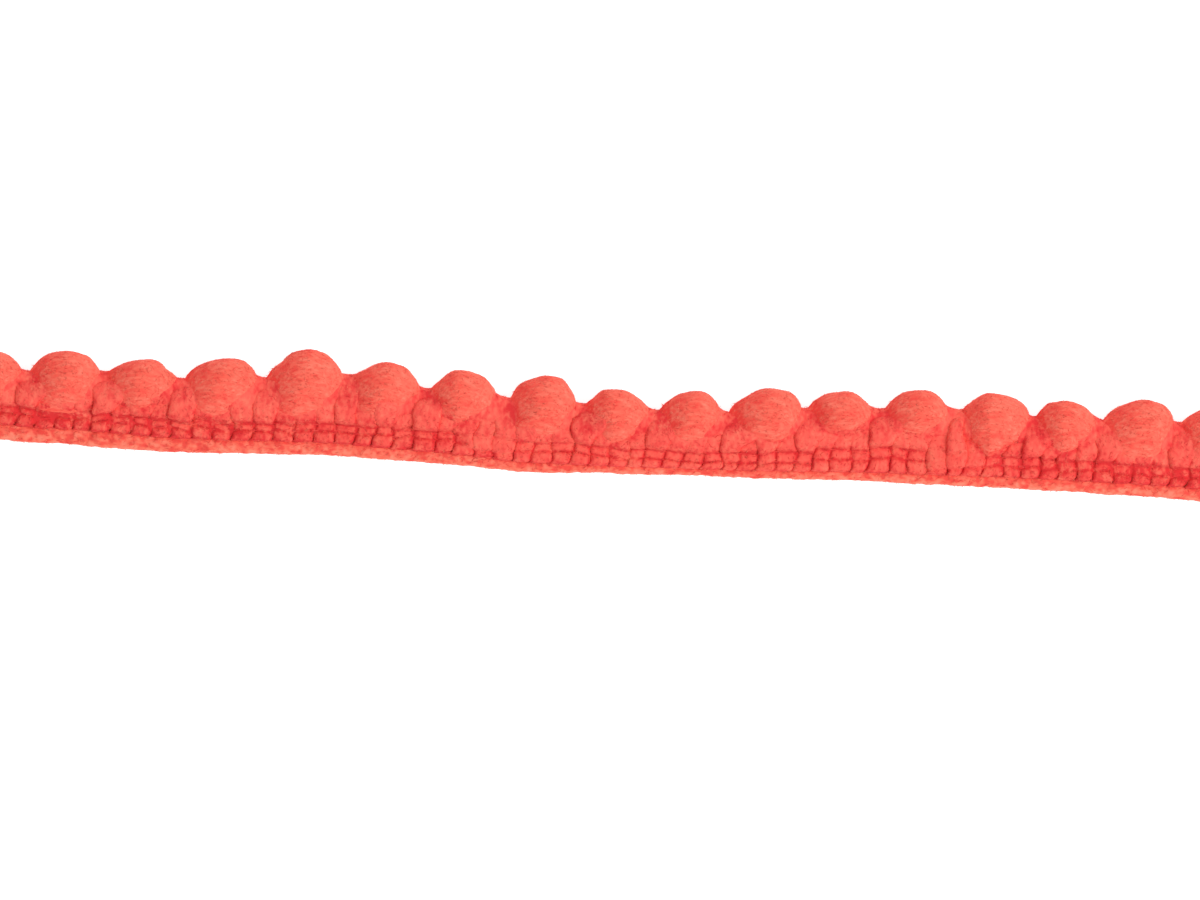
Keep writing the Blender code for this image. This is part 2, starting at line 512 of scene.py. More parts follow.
REACHES = (9.0, 1.9, 1.0, 1.6)  # how far above the stitches the gap left of each pass of four stays open
REACH_UNEVEN = Uneven(0.9, 1 / 3.3, 13)


def read_gap(index, along):
    """The gap on the left of a pass."""
    lines = lines_at(along)
    lean = LEAN * (1 + uneven(LEAN_UNEVEN, index)) if index % PASSES else 0.0
    reaches = REACHES[index % PASSES] * (1 + uneven(REACH_UNEVEN, index))
    return Gap(index, along, lines, lean, reaches, mix(CLOSED, OPEN, lines.worn))


gaps = [read_gap(index, along) for index, along in enumerate([*pass_places, pass_places[-1] + pass_width])]


def gap_x(gap, height):
    """x of a gap, at a height above the edge."""
    above = max(height - gap.lines.top - LEAN_FROM, 0.0)
    hook = HOOK * rise(gap.lines.lower - height, HOOK_WAY)
    wander = uneven(GAP_WANDER, gap.index * ASIDE, height)
    return gap.along - pass_width / 2 + wander - hook + gap.lean * above


def gap_fullness(gap, height):
    """How far a bar fills the room up to a gap."""
    above = height - gap.lines.top
    return mix(mix(gap.open, BESIDE, rise(above, BESIDE_WAY)), MERGED, ramp(above / gap.reach))


print(len(gaps), "gaps")

# %% [markdown]
# Between two stitch lines a bar is a pillow, and at a line it is pinched a little lower and narrower. Twice
# in this length the yarn has slipped over the upper stitches and floats free.

# %% The pillows between the stitch lines
PILLOW_POWER = 4.0  # higher is flatter, with narrower lines
BLOCK_TOP = 1.9  # the height of a block between the lowest and the upper line
SHORT_TOP = 1.80  # and of the short pillow between the upper and the top line
FINGER_TOP = 2.88
BAR_TOP = 2.5
PINCH_TOPS = (1.62, 1.62, 1.78)  # how high the pinched yarn lies, at the three lines
PINCH_WORN = 0.12  # and how much lower where it is worn
BLOCK_DIPS = 0.2  # the lowest pillow begins this far below the lowest line
RISE = 0.7  # above the stitches, how far it takes the yarn to spring up
Float = namedtuple("Float", "along half slope")
FLOATS = (Float(-10.3, 2.3, 0.0), Float(32.7, 2.7, 0.25))
FLOAT_START = 0.5  # above the lowest line
FLOAT_WAY = Way(0.0, 0.3)  # upwards from there
FLOAT_FADES = Way(0.7, 0.5)  # and to the sides, in half widths
FLOAT_TOP = 2.35


def pillow(height, low, high):
    """1 in the middle between two stitch lines and 0 at both."""
    off = (2 * height - low - high) / (high - low)
    return max(1 - abs(off) ** PILLOW_POWER, 0.0)


def bar_top(height, lines, free_top):
    """The height of a bar's top over the table, and how little the stitches pinch it, from 0 to 1."""
    if height < lines.upper:
        swell, full, ends = pillow(height, lines.lower - BLOCK_DIPS, lines.upper), BLOCK_TOP, PINCH_TOPS[:2]
        share = (height - lines.lower) / (lines.upper - lines.lower)
    elif height < lines.top:
        swell, full, ends = pillow(height, lines.upper, lines.top), SHORT_TOP, PINCH_TOPS[1:]
        share = (height - lines.upper) / (lines.top - lines.upper)
    else:
        swell = 1 - (1 - min((height - lines.top) / RISE, 1.0)) ** 3
        full, ends, share = free_top, PINCH_TOPS[2:] * 2, 0.0
    pinched = mix(*ends, min(max(share, 0.0), 1.0)) - PINCH_WORN * lines.worn
    return mix(pinched, full, swell), swell


def floating(along, height, lines):
    """1 where the yarn floats free over the upper stitches, and 0 where they hold it."""
    free = 0.0
    for row in FLOATS:
        off = (along - row.along) / row.half
        start = lines.lower + FLOAT_START + row.slope * off
        free += (1 - rise(abs(off), FLOAT_FADES)) * rise(height - start, FLOAT_WAY)
    return free


# %% The rings of a bar
FINE_STEP = 0.09  # from ring to ring among the stitches
COARSE_STEP = 0.2  # and above them
BAR_AROUND = 24
FOOT_BELOW = 0.12  # a bar begins this far below the lowest line
FOOT_ROUND = 0.24  # the length of its rounded foot
TIP_ROUND = 1.2  # and of a finger's arched tip
TIP_RINGS = 6


def bar_rings(start, top, tip):
    """Rows of (height, closing): how wide each ring is, from 0 at a tip to 1."""
    turns = [pi / 2 * step / TIP_RINGS for step in range(TIP_RINGS)]
    foot = [(start + FOOT_ROUND * (1 - cos(turn)), sin(turn)) for turn in turns]
    fine = [(height, 1.0) for height in np.arange(start + FOOT_ROUND, top + RISE, FINE_STEP)]
    count = max(round((tip - TIP_ROUND - top - RISE) / COARSE_STEP), 2)
    coarse = [(height, 1.0) for height in np.linspace(top + RISE, tip - TIP_ROUND, count, endpoint=False)]
    head = [(tip - TIP_ROUND * (1 - sin(turn)), cos(turn)) for turn in turns]
    return [*foot, *fine, *coarse, *head, (tip, 0.0)]


# %% [markdown]
# Where a bar runs up into its pompom, its top turns into the pompom's face with a soft hollow. A finger's
# left side stays above the face and keeps its line, and its right side dives under. The shade of a bar is
# darkest at its sides, under the stitches and at its foot.

# %% The form of the bars
FINGER_BELOW_DIP = 0.55  # the finger's tip, below the band's upper edge behind it
BAR_BELOW_DIP = 0.9
SQUARE = 4.0  # the power of a bar's cross-section among the stitches
SQUARE_ABOVE = 4.5  # and above them
SWELL_FULL = 1.6  # a pinched bar gets back its width faster than its height, by this factor
BAR_UNDER = 0.1  # its underside lies this far over the table
FOOT_ARCH = 0.4  # the power by which its foot closes to the sides: less is blunter
TIP_ARCH = 0.9  # and by which both its ends close in height
FINGER_BROADER = 0.63  # above the stitches a finger reaches further to the right, under its pompom
BROADER_WAY = Way(0.6, 1.2)  # upwards from the top line
PROUD_START = 0.06  # how far a pass stands above the pompom's face where it runs up into it
PROUD_END = -0.12  # and how far below it, after PROUD_RISE
PROUD_RISE = 2.0
PROUD_CRISP = -0.5  # at a crisp edge it passes underneath
FINGER_LEFT = 0.06  # the same for a finger's left side, which stays above the face
FINGER_RIGHT = -0.12  # and for its right side, which dives under
MEETING = 0.8  # how softly a pass turns up into the face
BELLY = 0.6  # a bar is widest at this share of its height
FREE_FULL = 1.16  # the width of a bar in a float
TIP_UNEVEN = Uneven(0.3, 1 / 6.1, 14)
BULK = Uneven(0.15, 1 / 3.7, 0)
SLANT = Uneven(0.4, 1 / 5.9, 2)  # how far its pillows lean
SHIFT = Uneven(0.4, 1 / 2.9, 3)  # and lie off from its neighbours'
BROADER = Uneven(1.44, 1 / 4.7, 25)
SLACK = Uneven(1.6, 0.9, 19)  # here and there a stitch pinches less
SLACK_SWELL = 0.9
LUMPS = Uneven(0.07, 0.9, 1)
FINE_LUMPS = Uneven(0.03, 0.35, 2)

# %% The shade of the bars
FREE_SHADE = -0.1  # a float gets painted light
RISING_LIGHT = -0.12  # and so do the passes that rise to the pompoms
RISING_LIGHT_WAY = Way(0.2, 1.2)  # upwards from the top line
STITCH_SHADE_ENDS = 0.2  # above the top line
SIDE_SHADE = 0.9  # in the grooves between the bars
SIDE_WAY = Way(0.6, 0.4)  # towards the side, in half widths
SIDE_FADES = Way(1.0, 0.2)  # as the bars grow together
LINE_SHADE = 1.1  # under a stitch
FOOT_SHADE = 0.9
FOOT_WAY = Way(-0.2, 0.2)  # downwards, ending at the lowest line
FOOT_TIGHT = 0.4  # the share of it where the passes lie tight
UNDER_SHADE = 0.8
ROW_FADES = Way(0.0, 0.9)  # upwards from the top line
LEFT_LINE_SHADE = 0.55  # how dark the painted shade along a finger's left side is
LEFT_WAY = Way(0.86, 0.12)
RIGHT_LINE_SHADE = 0.4  # and along its right side
RIGHT_WAY = Way(0.8, 0.15)
ROW_MOTTLE = Uneven(1.8, 1.4, 20)
FOOT_MOTTLE = Uneven(1.2, 0.8, 27)


# %% The passes of yarn as bars
def bar_form(index):
    """One pass of the yarn. Its rings lie one above another, from its foot to its tip."""
    along = pass_places[index]
    is_finger = index % PASSES == 0
    ball = balls[index // PASSES] if index // PASSES < len(balls) else None
    lines = lines_at(along)
    dip = float(np.interp(along, dips, dip_heights))
    tip = dip - (FINGER_BELOW_DIP if is_finger else BAR_BELOW_DIP) + uneven(TIP_UNEVEN, index)
    rings = bar_rings(lines.lower - FOOT_BELOW, lines.top, tip)
    bulk = 1 + uneven(BULK, index)

    def bar_x(height, closing, across, full):
        left, right = gap_x(gaps[index], height), gap_x(gaps[index + 1], height)
        arch = closing ** FOOT_ARCH if height < lines.top else closing
        if is_finger and height > lines.top:
            broader = FINGER_BROADER + uneven(BROADER, index)
            right += broader * rise(height - lines.top, BROADER_WAY)
            left, arch = mix(left, right, 1 - closing), 1.0 if closing else 0.0
        x = (left + right) / 2 + (right - left) / 2 * full * across * arch
        return max(-END, min(END, x))

    def onto_face(top, height, across, x, y):
        if not ball or height <= lines.top:
            return top
        if is_finger:
            proud = mix(FINGER_LEFT, FINGER_RIGHT, (across + 1) / 2)
        else:
            proud = mix(PROUD_START, PROUD_END, ((height - lines.top) / PROUD_RISE) ** 2)
            proud += PROUD_CRISP * crispness(ball, (x - ball.middle.x) / ball.left)
        return soft_max(top, face(ball, x, y) + proud, MEETING)

    def shade(height, across, x, y, swell, full, free):
        above = height - lines.top
        side = SIDE_SHADE * rise(abs(across), SIDE_WAY) * (1 - rise(full, SIDE_FADES))
        line = LINE_SHADE * (1 - swell) * (1 - free) * (above < STITCH_SHADE_ENDS)
        foot = rise(lines.lower - height, FOOT_WAY) * mix(FOOT_TIGHT, 1.0, lines.worn)
        foot *= FOOT_SHADE + uneven(FOOT_MOTTLE, x)
        row = lines.shade * (1 + uneven(ROW_MOTTLE, x, y)) * (1 - rise(above, ROW_FADES))
        dark = max(side, line, foot) + mix(row, FREE_SHADE, free)
        if above <= STITCH_SHADE_ENDS:
            return dark
        edge = LEFT_LINE_SHADE * rise(-across, LEFT_WAY) + RIGHT_LINE_SHADE * rise(across, RIGHT_WAY)
        return max(dark, edge * is_finger) + RISING_LIGHT * rise(above, RISING_LIGHT_WAY) + fold_shade(x, y) + crease_shade(x, y)

    def place(ring, angle):
        height, closing = rings[ring]
        across, up = boxy(angle, SQUARE_ABOVE if height > lines.top else SQUARE)
        stitched = height - uneven(SHIFT, index) - uneven(SLANT, index) * across
        top, swell = bar_top(stitched, lines, FINGER_TOP if is_finger else BAR_TOP)
        swell = max(swell, SLACK_SWELL * ramp(uneven(SLACK, along + across, height)))
        free = floating(along + across * pass_width / 2, height, lines)
        top += max(FLOAT_TOP - top, 0.0) * free
        beside = gap_fullness(gaps[index] if across < 0 else gaps[index + 1], height)
        full = mix(mix(PINCHED, beside, min(swell * SWELL_FULL, 1.0)), FREE_FULL, free)
        x = bar_x(height, closing, across, full)
        y = edge_y(along) + height
        top = onto_face(top, height, across, x, y)
        lump = uneven(LUMPS, x, y) + uneven(FINE_LUMPS, x, y, up)
        middle = top * BELLY
        half = top * bulk + lump - middle if up > 0 else middle - BAR_UNDER
        spot = Vector((x, y, middle + half * up * closing ** TIP_ARCH))
        return spot, shade(height, across, x, y, swell, full, free) if up > 0 else UNDER_SHADE

    return len(rings) - 1, BAR_AROUND, place


bars = round_piece("weft_bars", up_grain, map(bar_form, range(len(pass_places))))

# %% [markdown]
# ## The band behind the bars
#
# Behind the fingers a back layer of the same plush reaches a little higher, up to the dips between the
# pompoms. It is the ground of the heading, a strip of cloth laid flat. It is one closed form that lies just
# below the bars and turns up softly into the pompoms.

# %% The ground of the heading
GROUND_STEP = 0.3
GROUND_AROUND = 56
GROUND_FRONT = 0.35  # it begins this far behind the selvedge edge
GROUND_SQUARE = 3.0
GROUND_FOOT = 0.9  # its thickness at the lowest stitch line
GROUND_LOW = 1.62  # and under the other two
GROUND_LOW_WAY = Way(0.0, 0.25)  # upwards from the lowest line
GROUND_HIGH = 2.72  # and behind the fingers
GROUND_HIGH_WAY = Way(0.2, 2.0)  # upwards from the top line
GROUND_MEETING = 0.9  # how softly it turns up into the pompoms
GROUND_UNDER = 0.08  # how far it lies below their faces there
VALLEY_RISE = 0.6  # its upper edge climbs this far towards the pompoms
VALLEY_HALF = 1.5  # at this distance from a dip
GROUND_LUMPS = Uneven(0.10, 1.6, 3)
GROUND_FINE_LUMPS = Uneven(0.04, 0.5, 4)
GROUND_MOTTLE = Uneven(0.6, 1.2, 24)
GROUND_SHADE = 1.0  # among the stitches
GROUND_LIGHTER = 0.95  # and by how much less behind the fingers
GROUND_LIGHTER_WAY = Way(0.5, 1.3)  # upwards from the top line
GROUND_FOLD = 1.2  # a fold's painted shade is darker on the ground than on the passes, by this factor


def ground_top(along, above, lines):
    """Height of the ground over the table, at a height above the edge."""
    top = mix(GROUND_FOOT, GROUND_LOW, rise(above - lines.lower, GROUND_LOW_WAY))
    top = mix(top, GROUND_HIGH, rise(above - lines.top, GROUND_HIGH_WAY))
    if above > lines.top:
        for ball in balls:
            if abs(ball.middle.x - along) < repeat:
                top = soft_max(top, face(ball, along, edge_y(along) + above) - GROUND_UNDER, GROUND_MEETING)
    return top


def ground_place(ring, angle):
    """How the ground's vertices are laid out."""
    along, closing = section_at(ring, ground_rings)
    from_dip = min(abs(along - dip) for dip in dips)
    height = float(np.interp(along, dips, dip_heights)) + VALLEY_RISE * min(from_dip / VALLEY_HALF, 1.0) ** 2
    across, up = boxy(angle, GROUND_SQUARE)
    half = (height - GROUND_FRONT) / 2
    above = GROUND_FRONT + half + half * across * closing
    lines = lines_at(along)
    top = ground_top(along, above, lines)
    z = top / 2 + top / 2 * up * closing
    lump = uneven(GROUND_LUMPS, along, above, z) + uneven(GROUND_FINE_LUMPS, along, above, z)
    spot = Vector((along, edge_y(along) + above + lump * closing, z + lump * closing * (up > 0)))
    dark = GROUND_SHADE - GROUND_LIGHTER * rise(above - lines.top, GROUND_LIGHTER_WAY)
    if above > lines.top:
        dark += uneven(GROUND_MOTTLE, along, above)
    return spot, dark + GROUND_FOLD * fold_shade(spot.x, spot.y) + crease_shade(spot.x, spot.y)


ground_rings = round(2 * END / GROUND_STEP)
ground = round_piece("heading_ground", up_grain, [(ground_rings, GROUND_AROUND, ground_place)])

# %% [markdown]
# ## The selvedge roll
#
# At the lower edge the yarn turns back under itself. The turns have felted together into one smooth roll,
# on which only faint slanting dents show where one pass meets the next. Shade is painted into the dents and
# where the roll runs in under the blocks, and its outer rim is painted pale with painted light.

# %% The selvedge roll
ROLL_STEP = 0.16
ROLL_AROUND = 24
ROLL_SQUARE = 2.4
ROLL_TOP = 1.35
ROLL_FULL = 0.95  # how full it is on average
ROLL_TUCK = 0.5  # how far it reaches in under the blocks
DENT_DEPTH = 0.16
DENT_WIDTH = 0.16
DENT_SLANT = 0.8
DENT_MEAN = 0.5  # how deep a dent is on average, as a share of DENT_DEPTH
DENT_SHADE = 0.6
DENT_WANDER = Uneven(0.5, 2.0, 9)
DENT_UNEVEN = Uneven(1.2, 1.5, 10)
EDGE_NOTCHES = Uneven(0.08, 0.6, 7)
EDGE_WAVES = Uneven(0.08, 3.0, 8)
ROLL_THICKNESS = Uneven(0.2, 2.5, 5)
ROLL_LUMPS = Uneven(0.10, 1.0, 6)
ROLL_FINE_LUMPS = Uneven(0.04, 0.4, 11)
ROLL_PATCHES = Uneven(1.0, 0.9, 18)
ROLL_MOTTLE = Uneven(1.8, 0.4, 21)
PATCH_STRETCH = 1.6  # the patches are longer than they are wide, by this factor
ROLL_SHADE = 0.12
TUCK_SHADES = ((0.9, Way(-0.15, 0.2)), (0.5, Way(-0.7, 0.6)))  # upwards from the lowest line
# painted light on the outer rim
PAINTED_RIM_LIGHT = -0.9
RIM_FADES = Way(-0.15, 0.5)  # upwards from the edge
RIM_HIGH = Way(0.2, 0.6)  # in z, on its upper half


def dent(along, above, half):
    """How deep a dent is at a place on the roll, from 0 to about 1."""
    slanted = along - DENT_SLANT * (above - half) + uneven(DENT_WANDER, along, above)
    passes = (slanted - pass_places[0]) / pass_width + 0.5
    away = abs(passes - round(passes)) * pass_width
    return exp(-((away / DENT_WIDTH) ** 2)) * (DENT_MEAN + uneven(DENT_UNEVEN, along, above))


def roll_place(ring, angle):
    """How the roll's vertices are laid out."""
    along, closing = section_at(ring, roll_rings)
    across, up = boxy(angle, ROLL_SQUARE)
    lower = lines_at(along).lower
    half = (lower + ROLL_TUCK) / 2
    notch = (uneven(EDGE_NOTCHES, along) + uneven(EDGE_WAVES, along)) * (across < 0)
    above = half + (half + notch) * across * closing
    middle = ROLL_TOP / 2
    thick = middle * (ROLL_FULL + uneven(ROLL_THICKNESS, along))
    dented = dent(along, above, half) * (up > 0)
    lump = uneven(ROLL_LUMPS, along, above, up) + uneven(ROLL_FINE_LUMPS, along, above, up)
    z = max(middle + (thick + lump - DENT_DEPTH * dented) * up * closing, 0.0)
    tucked = max(dark * rise(above - lower, way) for dark, way in TUCK_SHADES)
    patchy = uneven(ROLL_PATCHES, along, above * PATCH_STRETCH, z) + uneven(ROLL_MOTTLE, along, above, z)
    # painted light on the upper half of the outer rim
    rim = PAINTED_RIM_LIGHT * (1 - rise(above, RIM_FADES)) * rise(z, RIM_HIGH)
    dark = max(tucked, DENT_SHADE * dented) + patchy + ROLL_SHADE + rim
    return Vector((along, edge_y(along) + above, z)), dark


roll_rings = round(2 * END / ROLL_STEP)
roll = round_piece("selvedge_roll", along_grain, [(roll_rings, ROLL_AROUND, roll_place)])

# %% [markdown]
# ## The pompoms
#
# Here the sphere's poles are the top and the bottom. Each ring is a smaller copy of the outline, and the
# relief says how high it lies. The left flank is painted in shade and the right one painted light, as the
# lamp on the right lights them.

# %% The pompoms as felted lumps
BALL_RINGS = 44
BALL_AROUND = 76
UNDER_FLAT = 1.04  # a little over 1 presses the underside flat on the table
OUTLINE_LUMP = Uneven(0.055, 0.9, 0)
FLANK_LEFT_SHADE = 0.65  # the painted shade of a flank: above 0 is darker, and below 0 is painted light
FLANK_RIGHT_LIGHT = -0.3
FLANK_WAY = Way(-1.0, 2.0)  # from the left flank to the right one
ARC_DROP = 3.0  # the fibres lie in arcs round a place this far below the foot


def ball_place(ball):
    """How a pompom's vertices are laid out."""

    def place(ring, angle):
        turn = pi * ring / BALL_RINGS
        share = sin(turn)
        power = outline_power(ball, degrees(angle))
        out = (abs(cos(angle)) ** power + abs(sin(angle)) ** power) ** (-1 / power)
        across, up = cos(angle) * out, sin(angle) * out
        lump = uneven(OUTLINE_LUMP, 2 * cos(angle), 2 * sin(angle), cos(turn), own=ball.number)
        wide = share * (1 + lump * share)
        y = ball.middle.y + up * wide * reach(ball, up)
        x = axis_x(ball, y) + across * wide * (ball.right if across > 0 else ball.left)
        # painted shade on the left flank and painted light on the right one, with painted shade in folds and
        # creases
        flank = share * share * mix(FLANK_LEFT_SHADE, FLANK_RIGHT_LIGHT, rise(across, FLANK_WAY))
        flank += fold_shade(x, y) + crease_shade(x, y)
        if turn <= pi / 2:
            return Vector((x, y, face_shape(ball, share, across, up, x, y))), flank
        rim = face_shape(ball, 1.0, across, up, x, y)
        under = rim * (1 - UNDER_FLAT * abs(cos(turn)))
        return Vector((x, y, max(under, 0.0))), flank * share

    return place


def arc_middle(ball):
    """The brushed arcs of a pompom run round this place, well below its foot."""
    return ball.foot - Vector((0.0, ARC_DROP, 0.0))


def arc_grain(ball):
    """Places along and across the brushed arcs."""
    middle = arc_middle(ball)

    def grain(place):
        away = place.xy - middle.xy
        return (atan2(away.x, away.y) * away.length, away.length, place.z)

    return grain


plush_balls = []
for ball in balls:
    form = (BALL_RINGS, BALL_AROUND, ball_place(ball))
    piece = round_piece(f"plush_{ball.name}", arc_grain(ball), [form])
    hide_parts(ball.name)
    plush_balls.append(piece)

# %% [markdown]
# ## The chain stitches
#
# The binding thread is the colour of the yarn and lies deep in the pinched lines. It rides up a little over
# each pass and dives between them. The upper line is sewn with two threads, side by side.

# %% Threads in the pinched lines
Thread = namedtuple("Thread", "line aside height")
THREADS = (
    Thread("lower", 0.05, 1.50),
    Thread("upper", 0.07, 1.67),
    Thread("upper", -0.06, 1.65),
    Thread("top", 0.03, 1.80),
)
THREAD_RADIUS = 0.05
THREAD_AROUND = 6
THREAD_DIVES = 0.35  # how far it dives between two passes
THREAD_ARCH = 0.6  # the power of its arch over a pass: less is blunter
THREAD_INSIDE = 0.1  # it ends this far inside the cut ends
THREAD_SHADE = 0.9
STITCH_STEPS = 8  # rings for each pass
thread_rings = STITCH_STEPS * (len(pass_places) - 2)


def thread_spot(thread, ring):
    """A place on the middle line of a thread."""
    along = (END - THREAD_INSIDE) * (2 * ring / thread_rings - 1)
    passes = (along - pass_places[0]) / pass_width + 0.5
    over = sin(pi * (passes % 1.0))
    above = getattr(lines_at(along), thread.line) + thread.aside * over
    return Vector((along, edge_y(along) + above, thread.height - THREAD_DIVES * (1 - over ** THREAD_ARCH)))


def thread_place(thread):
    """How a thread's vertices are laid out."""

    def place(ring, angle):
        closing = 0.0 if ring in (0, thread_rings) else 1.0
        ahead = thread_spot(thread, min(ring + 1, thread_rings))
        behind = thread_spot(thread, max(ring - 1, 0))
        forward = (ahead - behind).normalized()
        side = Vector((-forward.y, forward.x, 0.0)).normalized()
        outwards = side * cos(angle) + forward.cross(side) * sin(angle)
        return thread_spot(thread, ring) + outwards * THREAD_RADIUS * closing, THREAD_SHADE

    return place


forms = [(thread_rings, THREAD_AROUND, thread_place(thread)) for thread in THREADS]
threads = round_piece("chain_stitches", along_grain, forms)

# %% [markdown]
# ## The nap
#
# Brushing has pulled short fibres out of the yarn, and without them the trim would look like wax. Each fibre
# is a four-sided spindle, closed at both tips. It is made once, and then copied by the thousand with an array
# of axes, one set for each fibre.

# %% One fibre
FIBRE_SIDES = 4
FIBRE_BELLY = 0.35  # how far from its root a fibre is thickest


def make_spindle():
    """A fibre that is 1 long and 1 thick, with its root at the origin and its tip at the top."""
    bm = bmesh.new()
    taper = 1 - FIBRE_BELLY
    bmesh.ops.create_cone(bm, segments=FIBRE_SIDES, radius1=0.5, radius2=0.0, depth=taper, cap_ends=False)
    bmesh.ops.translate(bm, verts=bm.verts, vec=(0, 0, FIBRE_BELLY + taper / 2))
    belly = [edge for edge in bm.edges if edge.is_boundary]
    grown = bmesh.ops.extrude_edge_only(bm, edges=belly)["geom"]
    root = [item for item in grown if isinstance(item, bmesh.types.BMVert)]
    bmesh.ops.pointmerge(bm, verts=root, merge_co=(0, 0, 0))
    return to_mesh("spindle", bm)


spindle = make_spindle()
spindle_points = np.array([vert.co for vert in spindle.vertices])
spindle_faces = np.array([polygon.vertices for polygon in spindle.polygons])
print("a fibre has", len(spindle_faces), "faces")

# %% [markdown]
# The fibres of one piece share a row of measures. They are scattered evenly over its surface, each one lies
# down along the brushed direction and strays from it at random, and it takes the shade of the place where it
# grows. The random numbers start from a fixed seed, so every run combs the trim in the same way.

# %% Scattering the fibres
Nap = namedtuple("Nap", "density length width stray seed")  # fibres per square millimetre, mm, mm, radians
POMPOM_NAP = Nap(24, 0.45, 0.07, 0.6, 1)
WEFT_NAP = Nap(17, 0.40, 0.07, 1.2, 101)
GROUND_NAP = Nap(10, 0.50, 0.07, 0.8, 102)
SELVEDGE_NAP = Nap(14, 0.50, 0.06, 0.6, 103)


def unit(vectors):
    """The same directions with length 1."""
    return vectors / np.maximum(np.linalg.norm(vectors, axis=1, keepdims=True), 1e-12)


def scatter(mesh, density, rng):
    """Random spots on a mesh, in millimetres, with the normal at each one and a vertex that lies near it."""
    mesh.calc_loop_triangles()
    places = np.array([vert.co for vert in mesh.vertices]) / MM
    normals = np.array([vert.normal for vert in mesh.vertices])
    triangles = np.unique(np.sort([triangle.vertices for triangle in mesh.loop_triangles], axis=1), axis=0)
    corners = places[triangles]
    areas = np.linalg.norm(np.cross(corners[:, 1] - corners[:, 0], corners[:, 2] - corners[:, 0]), axis=1) / 2
    count = int(areas.sum() * density)
    chosen = rng.choice(len(areas), size=count, p=areas / areas.sum())
    shares = rng.dirichlet((1, 1, 1), size=count)[:, :, None]
    spots = (corners[chosen] * shares).sum(axis=1)
    ups = unit((normals[triangles][chosen] * shares).sum(axis=1))
    return spots, ups, triangles[chosen, 0]


# %% Laying the fibres down
FIBRE_FLATNESS = 0.4
FIBRE_TILT = 0.06  # in radians, how far a tip may stand up
FIBRE_SUNK = 0.2  # of its width
FIBRE_LENGTHS = (0.6, 1.3)  # as shares of the nap's
FIBRE_WIDTHS = (0.7, 1.3)


def lay(spots, ups, lies, nap, rng):
    """Three axes for each fibre: across it, through it and along it, as long as the fibre measures there."""
    count = len(spots)
    lies = unit(lies - ups * (lies * ups).sum(axis=1, keepdims=True))
    side = np.cross(ups, lies)
    swing = rng.normal(0.0, nap.stray, count)[:, None]
    flip = rng.choice((-1.0, 1.0), count)[:, None]
    lies = unit((lies * np.cos(swing) + side * np.sin(swing)) * flip)
    tilt = rng.uniform(0.0, FIBRE_TILT, count)[:, None]
    forward = lies * np.cos(tilt) + ups * np.sin(tilt)
    side = unit(np.cross(ups, forward))
    above = np.cross(forward, side)
    long = nap.length * rng.uniform(*FIBRE_LENGTHS, count)[:, None]
    wide = nap.width * rng.uniform(*FIBRE_WIDTHS, count)[:, None]
    return np.stack([side * wide, above * wide * FIBRE_FLATNESS, forward * long], axis=1)


# %% Fibres as a mesh
def copy_attribute(source, target, near, name, kind, key, size):
    """Each fibre takes an attribute from the vertex near its root."""
    values = np.zeros(len(source.vertices) * size, np.float32)
    source.attributes[name].data.foreach_get(key, values)
    copied = np.repeat(values.reshape(-1, size)[near], len(spindle_points), axis=0)
    target.attributes.new(name, kind, "POINT").data.foreach_set(key, copied.ravel())


def comb(name, piece, nap, direction, keep):
    """The nap of a piece as an object. direction gives the way that it lies, and keep says where it grows."""
    rng = np.random.default_rng(nap.seed)
    spots, ups, near = scatter(piece.data, nap.density, rng)
    kept = keep(spots, ups)
    spots, ups, near = spots[kept], ups[kept], near[kept]
    axes = lay(spots, ups, direction(spots), nap, rng)
    roots = spots - ups * nap.width * FIBRE_SUNK
    points = roots[:, None] + spindle_points @ axes
    points[..., 2] = np.maximum(points[..., 2], 0.0)  # no fibre reaches through the table
    faces = spindle_faces + np.arange(len(spots))[:, None, None] * len(spindle_points)
    fibres = bpy.data.meshes.new(name)
    fibres.from_pydata(points.reshape(-1, 3) * MM, [], faces.reshape(-1, spindle_faces.shape[1]).tolist())
    tones = np.repeat(rng.random(len(spots)), len(spindle_points)).astype(np.float32)
    fibres.attributes.new("tone", "FLOAT", "POINT").data.foreach_set("value", tones)
    copy_attribute(piece.data, fibres, near, "grain", "FLOAT_VECTOR", "vector", 3)
    copy_attribute(piece.data, fibres, near, "shade", "FLOAT", "value", 1)
    fibres.shade_smooth()
    print(f"{name}: {len(spots)} fibres")
    return add_object(name, fibres)


def join(piece, coat):
    """The coat becomes part of the piece."""
    both = [piece, coat]
    with bpy.context.temp_override(
        active_object=piece, object=piece, selected_objects=both, selected_editable_objects=both
    ):
        bpy.ops.object.join()


# %% [markdown]
# On a pompom the fibres lie in arcs, as a hand would stroke it from foot to crest. On the passes they lie
# any way, because the passes were felted, and along the selvedge they follow the edge. No fibre grows where
# the trim touches the table, or on a pass that has run in under a pompom.

# %% Where the nap grows, and which way it lies
TABLE_ROOM = 0.15  # no fibre grows closer to the table than this
OVERHANG = -0.8  # a normal that points further down than this is the underside
WEFT_LOW = 0.8  # on the passes, below this nothing shows
WEFT_OVERHANG = -0.1  # and neither does a side that looks further down than this
INSIDE = 0.03  # this far below a pompom's face a fibre is hidden
GROUND_FROM = 2.2  # in y, only the upper part of the ground shows behind the fingers
EDGE_SLANT = 0.25  # along the selvedge the fibres slant towards the pompoms by this share


def off_the_table(spots, ups):
    """Everywhere but underneath."""
    return (spots[:, 2] > TABLE_ROOM) & (ups[:, 2] > OVERHANG)


